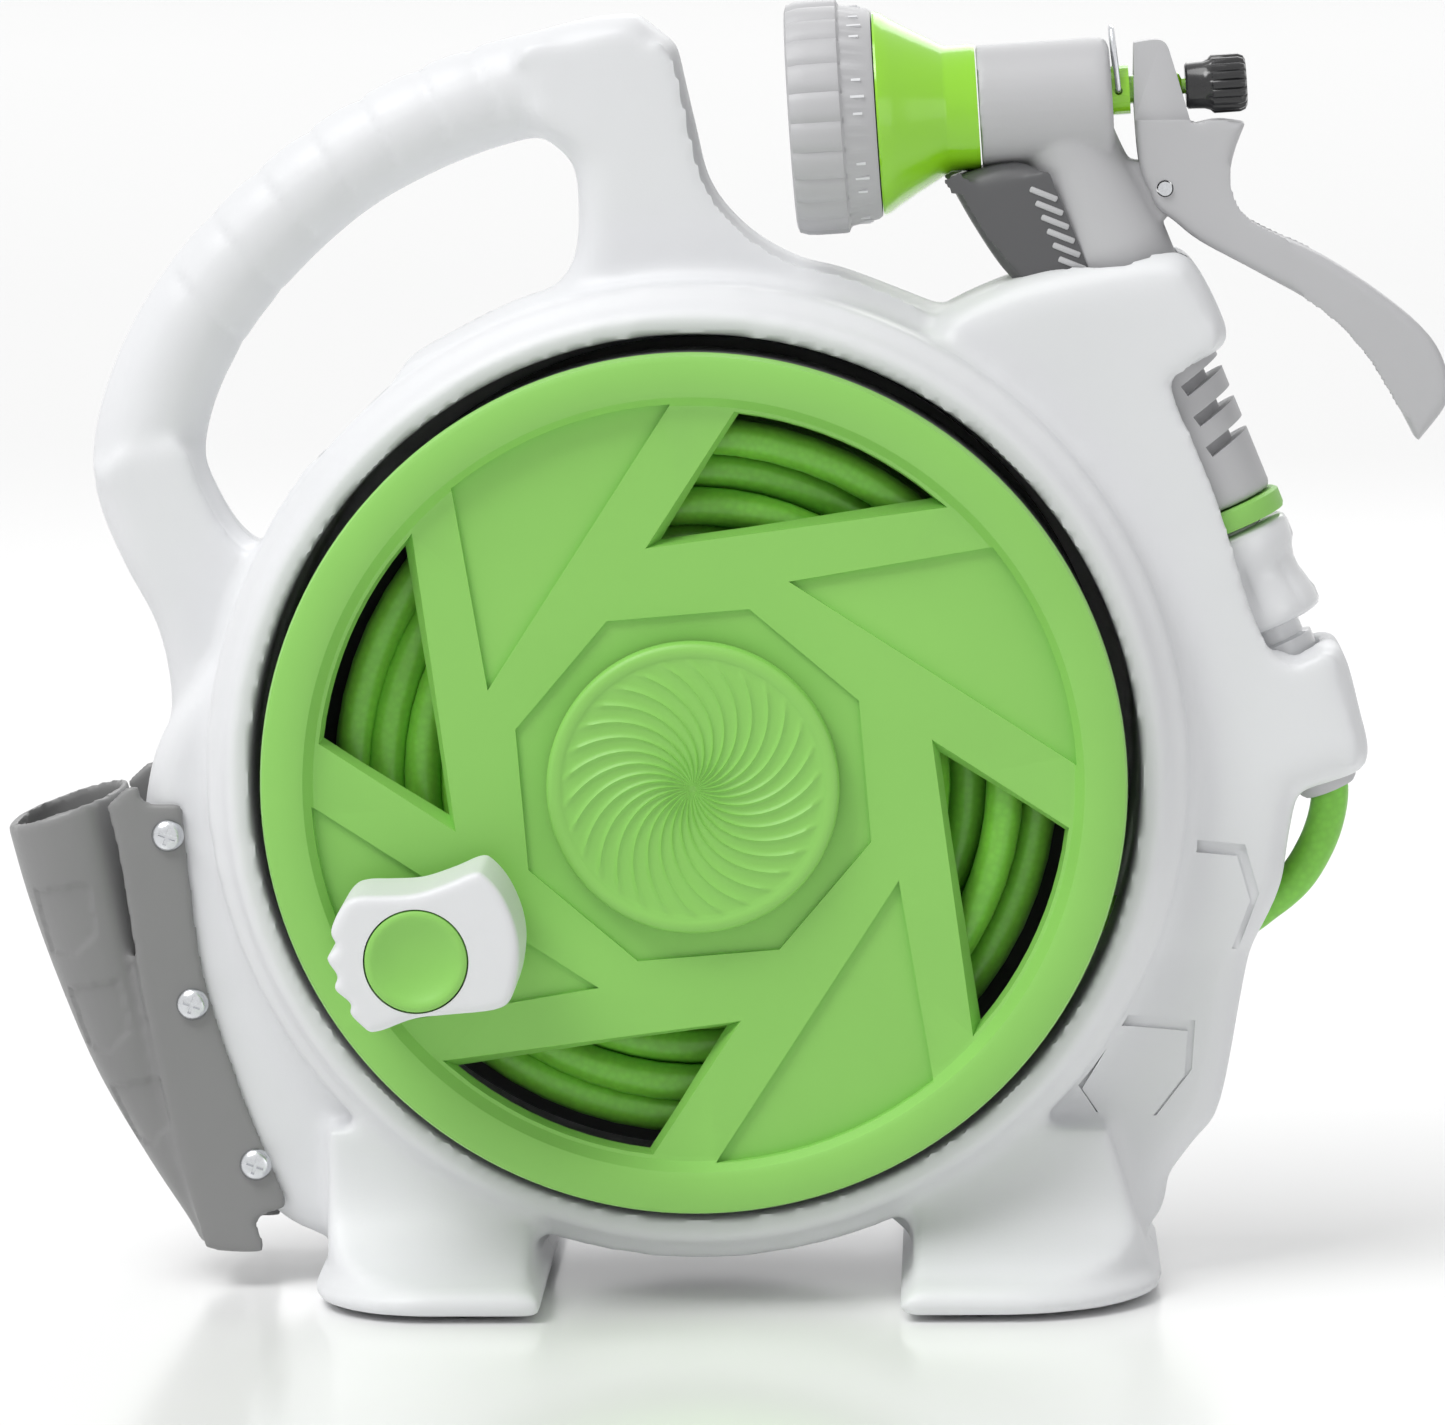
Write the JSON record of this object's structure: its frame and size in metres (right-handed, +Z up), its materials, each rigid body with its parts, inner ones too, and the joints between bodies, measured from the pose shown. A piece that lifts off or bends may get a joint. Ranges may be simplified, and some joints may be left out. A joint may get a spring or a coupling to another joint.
{
  "type": "garden hose reel",
  "caption": "Portable hand-carried hose reel: twin shells with a loop handle around a crank-wound drum, with a side tool pouch and a trigger spray gun in a channel.",
  "frame": {"origin": "middle of the bounding box's footprint, on the floor under the feet", "axes": "+Z up; the drum turns about Y and its open face looks towards -Y; the carrying handle leans to -X and the spray gun stands at +X"},
  "size_m": [0.4078, 0.1736, 0.3615],
  "materials": {
    "white_abs": "satin moulded",
    "green_plastic": "satin moulded",
    "green_gloss": "glossy moulded",
    "green_hose": "soft PVC with a faint braid",
    "grey_plastic": "fine-textured",
    "pouch_plastic": "satin moulded",
    "dark_plastic": "satin moulded",
    "black_plastic": "glossy",
    "rubber": "matt",
    "brass": "machined",
    "screw_steel": "bright plated"
  },
  "bodies": {
    "frame": {"front_shell": "white_abs", "rear_shell": "white_abs", "shell_screw_1": "screw_steel", "shell_screw_2": "screw_steel", "shell_screw_3": "screw_steel", "shell_screw_4": "screw_steel", "shell_screw_5": "screw_steel", "tool_pouch": "pouch_plastic", "pouch_screw_1": "screw_steel", "pouch_screw_2": "screw_steel", "pouch_screw_3": "screw_steel", "foot_pad_left_front": "rubber", "foot_pad_left_rear": "rubber", "foot_pad_right_front": "rubber", "foot_pad_right_rear": "rubber", "water_axle": "grey_plastic", "inlet_plug": "dark_plastic", "inlet_seal": "rubber", "connector_body": "white_abs", "connector_nut": "grey_plastic", "hose_tail": "green_hose"},
    "drum": {"drum_face": "green_plastic", "drum_rim_ring": "dark_plastic", "drum_core": "dark_plastic", "drum_rear_flange": "dark_plastic", "hose_coil": "green_hose", "hub_cap": "green_plastic", "hub_bush": "grey_plastic", "hose_barb": "brass", "hose_inner_end": "green_hose", "barb_clamp": "screw_steel", "crank_pin": "screw_steel"},
    "crank_knob": {"crank_grip": "white_abs", "crank_cap": "green_plastic", "crank_washer": "screw_steel"},
    "connector_sleeve_body": {"connector_sleeve": "white_abs"},
    "gun": {"gun_body": "grey_plastic", "gun_front_pad": "dark_plastic", "gun_cone": "green_gloss", "gun_collar": "green_plastic", "gun_nipple": "black_plastic", "valve_gland": "green_gloss", "valve_spring": "screw_steel", "trigger_pin": "screw_steel", "dial_screw": "screw_steel"},
    "dial": {"pattern_dial": "grey_plastic", "spray_plate": "dark_plastic"},
    "trigger_lever": {"trigger": "grey_plastic"},
    "stem": {"valve_stem": "green_gloss"},
    "knob": {"flow_knob": "black_plastic"},
    "clip": {"lock_clip": "screw_steel"}
  },
  "joints": [
    {"name": "drum_spin", "type": "hinge", "parent": "frame", "child": "drum", "pos_m": [-0.00694, 0.0118, 0.1475], "axis": [0, 1, 0], "continuous": true},
    {"name": "crank_knob_turn", "type": "hinge", "parent": "drum", "child": "crank_knob", "pos_m": [-0.08109, -0.0682, 0.10555], "axis": [0, 1, 0], "continuous": true},
    {"name": "connector_sleeve_pull", "type": "slide", "parent": "frame", "child": "connector_sleeve_body", "axis": [0.3746, 0, -0.9272], "range_m": [0, 0.0038], "stiffness_N_per_m": 800, "springref_m": -0.002},
    {"name": "gun_lift", "type": "slide", "parent": "frame", "child": "gun", "axis": [-0.3746, 0, 0.9272], "range_m": [0, 0.13]},
    {"name": "dial_turn", "type": "hinge", "parent": "gun", "child": "dial", "pos_m": [0.09256, 0.0118, 0.332], "axis": [-0.9983, 0, -0.0576], "continuous": true},
    {"name": "trigger_squeeze", "type": "hinge", "parent": "gun", "child": "trigger_lever", "pos_m": [0.12456, 0.0118, 0.308], "axis": [0, 1, 0], "range_deg": [0, 9.5], "stiffness_Nm_per_rad": 1, "springref_deg": -8.59},
    {"name": "valve_stem_slide", "type": "slide", "parent": "gun", "child": "stem", "axis": [0.9983, 0, 0.0576], "range_m": [0, 0.0046], "deforming": ["valve_spring"]},
    {"name": "flow_knob_turn", "type": "hinge", "parent": "stem", "child": "knob", "pos_m": [0.09256, 0.0118, 0.334], "axis": [0.9983, 0, 0.0576], "range_deg": [0, 270]},
    {"name": "lock_clip_swing", "type": "hinge", "parent": "gun", "child": "clip", "pos_m": [0.11176, 0.0118, 0.3352], "axis": [0, 1, 0], "range_deg": [0, 20]}
  ],
  "couplings": [
    {"joint": "valve_stem_slide", "follows": "trigger_squeeze", "m_per_rad": 0.0272}
  ]
}
